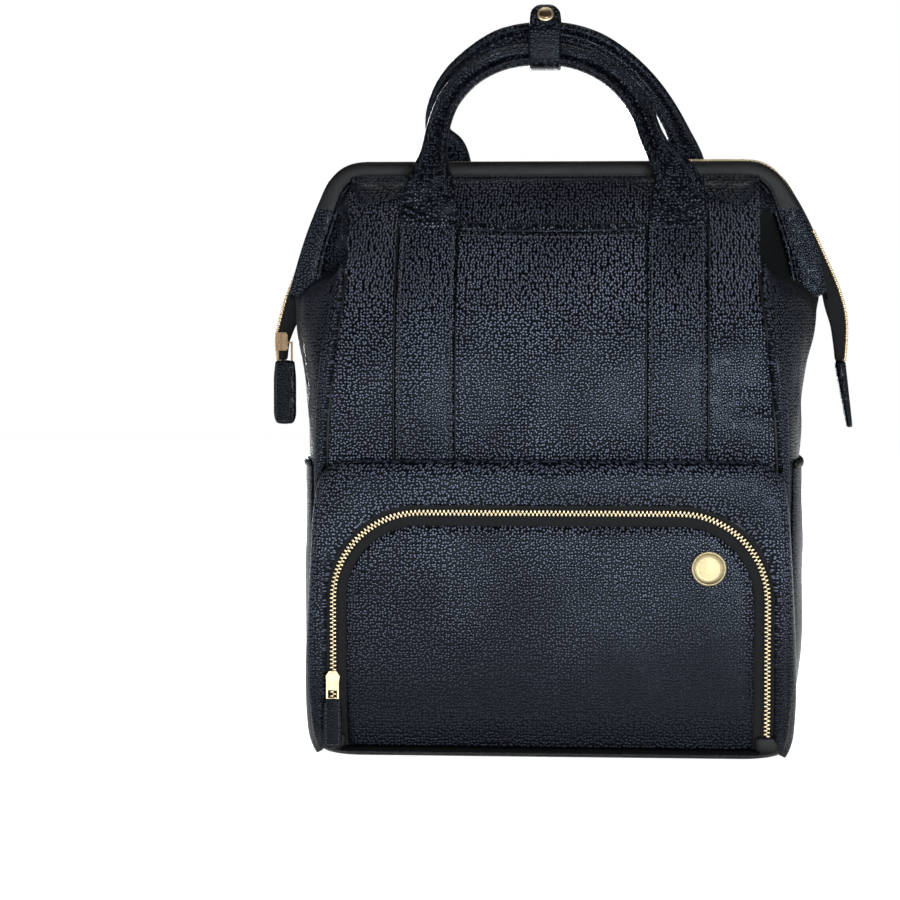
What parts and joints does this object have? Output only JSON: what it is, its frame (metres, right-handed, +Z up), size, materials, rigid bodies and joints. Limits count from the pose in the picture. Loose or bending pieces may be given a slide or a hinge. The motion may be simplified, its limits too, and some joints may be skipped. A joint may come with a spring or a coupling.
{
  "type": "diaper bag backpack",
  "caption": "Wide-mouth backpack in dark pebbled leather with a hinged steel mouth frame, two carry handles joined by a snap keeper, and a zipped drop-front pocket.",
  "frame": {"origin": "centre of the base panel's underside, where the bag stands", "axes": "+Z up, -Y the front with the zipped pocket, +Y the back with the shoulder straps, +X to the right as seen from the front"},
  "size_m": [0.3695, 0.202, 0.488],
  "materials": {
    "leather": "pebbled, semi-gloss",
    "band": "smooth, satin",
    "back_fabric": "matte",
    "mesh": "matte mesh",
    "strap_padding": "pebbled, semi-gloss",
    "webbing": "woven, matte",
    "lining": "matte",
    "zip": "woven tape with pale gold teeth",
    "board": "matte",
    "adjuster": "satin",
    "gold": "polished pale gold",
    "steel": "plain"
  },
  "bodies": {
    "bag": {"back_pad": "mesh", "back_wall": "back_fabric", "base_board": "board", "base_panel": "leather", "front_strap_left_lower": "leather", "front_strap_right_lower": "leather", "front_wall": "leather", "hinge_rivet_left": "steel", "hinge_rivet_right": "steel", "lining": "lining", "pocket_surround": "leather", "pocket_zip_outer": "zip", "ring_tab_left": "leather", "ring_tab_right": "leather", "shoulder_strap_left": "strap_padding", "shoulder_strap_right": "strap_padding", "side_gusset_left": "leather", "side_gusset_right": "leather", "side_pocket_left": "leather", "side_pocket_right": "leather", "slip_pocket_lower": "leather", "strap_webbing_left": "webbing", "strap_webbing_right": "webbing", "zip_end_tab_left": "leather", "zip_end_tab_right": "leather", "zip_tail_left": "zip", "zip_tail_right": "zip"},
    "mouth_front": {"front_yoke": "leather", "front_frame_bar": "steel", "front_frame_sleeve": "band", "mouth_zip_front": "zip", "front_strap_left_upper": "leather", "front_strap_right_upper": "leather", "slip_pocket_upper": "leather"},
    "mouth_rear": {"rear_yoke": "leather", "rear_frame_bar": "steel", "rear_frame_sleeve": "band", "mouth_zip_rear": "zip", "rear_strap_left": "leather", "rear_strap_right": "leather"},
    "handle_front": {"front_handle": "leather", "keeper_front": "leather", "snap_front": "gold"},
    "handle_rear": {"rear_handle": "leather", "keeper_rear": "leather", "snap_rear": "gold"},
    "zip_slider": {"mouth_slider": "gold"},
    "zip_pull": {"mouth_pull_loop": "gold", "mouth_pull_tab": "leather"},
    "pocket_front": {"pocket_flap": "leather", "badge": "gold", "pocket_zip_inner": "zip"},
    "pocket_zip_slider": {"pocket_slider": "gold"},
    "pocket_zip_pull": {"pocket_pull_loop": "gold", "pocket_pull_tab": "leather"},
    "ring_left": {"stroller_ring_left": "gold"},
    "ring_right": {"stroller_ring_right": "gold"},
    "adjuster_left": {"strap_adjuster_left": "adjuster"},
    "adjuster_right": {"strap_adjuster_right": "adjuster"}
  },
  "joints": [
    {"name": "mouth_front_hinge", "type": "hinge", "parent": "bag", "child": "mouth_front", "pos_m": [0, 0, 0.288], "axis": [1, 0, 0], "range_deg": [0, 45]},
    {"name": "mouth_rear_hinge", "type": "hinge", "parent": "bag", "child": "mouth_rear", "pos_m": [0, 0, 0.288], "axis": [-1, 0, 0], "range_deg": [0, 45]},
    {"name": "front_handle_swing", "type": "hinge", "parent": "mouth_front", "child": "handle_front", "pos_m": [0, -0.056, 0.338], "axis": [1, 0, 0], "range_deg": [0, 110]},
    {"name": "rear_handle_swing", "type": "hinge", "parent": "mouth_rear", "child": "handle_rear", "pos_m": [0, 0.056, 0.338], "axis": [-1, 0, 0], "range_deg": [0, 110]},
    {"name": "mouth_zip_slide", "type": "slide", "parent": "bag", "child": "zip_slider", "axis": [0, 0, 1], "range_m": [0, 0.014]},
    {"name": "mouth_pull_swing", "type": "hinge", "parent": "zip_slider", "child": "zip_pull", "pos_m": [-0.179, -0.0061, 0.2644], "axis": [-1, 0, 0], "range_deg": [0, 90]},
    {"name": "pocket_drop", "type": "hinge", "parent": "bag", "child": "pocket_front", "pos_m": [0, -0.1002, 0.0086], "axis": [1, 0, 0], "range_deg": [0, 85]},
    {"name": "pocket_zip_slide", "type": "slide", "parent": "pocket_front", "child": "pocket_zip_slider", "axis": [0, 0, 1], "range_m": [0, 0.045]},
    {"name": "pocket_pull_swing", "type": "hinge", "parent": "pocket_zip_slider", "child": "pocket_zip_pull", "pos_m": [-0.137, -0.10245, 0.0514], "axis": [-1, 0, 0], "range_deg": [0, 90]},
    {"name": "left_ring_swing", "type": "hinge", "parent": "bag", "child": "ring_left", "pos_m": [-0.122, 0.082, 0.236], "axis": [1, 0, 0], "range_deg": [0, 110]},
    {"name": "right_ring_swing", "type": "hinge", "parent": "bag", "child": "ring_right", "pos_m": [0.122, 0.082, 0.236], "axis": [1, 0, 0], "range_deg": [0, 110]},
    {"name": "left_adjuster_slide", "type": "slide", "parent": "bag", "child": "adjuster_left", "axis": [0.307, 0, 0.9517], "range_m": [-0.009, 0.022]},
    {"name": "right_adjuster_slide", "type": "slide", "parent": "bag", "child": "adjuster_right", "axis": [-0.307, 0, 0.9517], "range_m": [-0.009, 0.022]}
  ]
}
